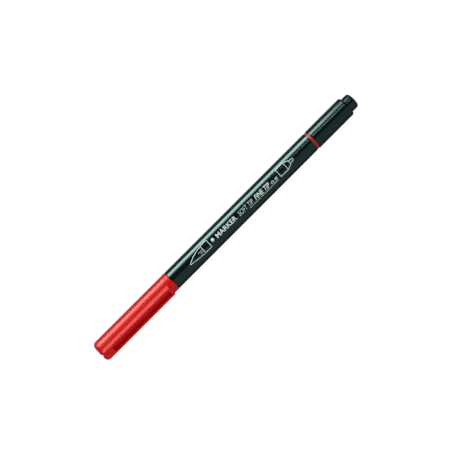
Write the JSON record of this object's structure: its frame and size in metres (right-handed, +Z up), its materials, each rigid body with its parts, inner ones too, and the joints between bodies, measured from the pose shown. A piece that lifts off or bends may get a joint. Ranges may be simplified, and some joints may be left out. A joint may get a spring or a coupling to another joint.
{
  "type": "double-ended brush pen",
  "caption": "Slim round fibre pen with a soft brush tip under a long cap and a fine tip under a short cap with a storage spigot.",
  "frame": {"origin": "on the pen's axis at the middle of the barrel", "axes": "+X along the pen towards the fine tip, +Z up as the pen lies on its side, the brush cap's raised pad on the -Y and +Z side"},
  "size_m": [0.165, 0.0105, 0.0107],
  "materials": {
    "barrel_plastic": "glossy moulded black with a faint blue-green cast",
    "ring_plastic": "glossy moulded red",
    "reservoir_fibre": "bonded fibre soaked with red ink",
    "film_plastic": "thin clear film",
    "nose_plastic": "satin moulded black",
    "holder_plastic": "natural moulded white",
    "brush_fibre": "soft fibre soaked with red ink",
    "pipe_plastic": "natural moulded white",
    "fine_fibre": "pressed fibre soaked with red ink",
    "brush_cap_plastic": "glossy moulded red",
    "seal_plastic": "soft natural polyethylene",
    "fine_cap_plastic": "glossy moulded black"
  },
  "bodies": {
    "pen": {"barrel": "barrel_plastic", "colour_ring": "ring_plastic", "ink_reservoir": "reservoir_fibre", "reservoir_film": "film_plastic", "brush_nose": "nose_plastic", "brush_holder": "holder_plastic", "brush_tip": "brush_fibre", "fine_nose": "nose_plastic", "fine_pipe": "pipe_plastic", "fine_tip": "fine_fibre"},
    "brush_cap": {"brush_cap": "brush_cap_plastic", "brush_cap_seal": "seal_plastic"},
    "fine_cap": {"fine_cap": "fine_cap_plastic", "fine_cap_seal": "seal_plastic"}
  },
  "joints": [
    {"name": "brush_cap_pull", "type": "slide", "parent": "pen", "child": "brush_cap", "axis": [-1, 0, 0], "range_m": [0, 0.045]},
    {"name": "fine_cap_pull", "type": "slide", "parent": "pen", "child": "fine_cap", "axis": [1, 0, 0], "range_m": [0, 0.028]}
  ]
}
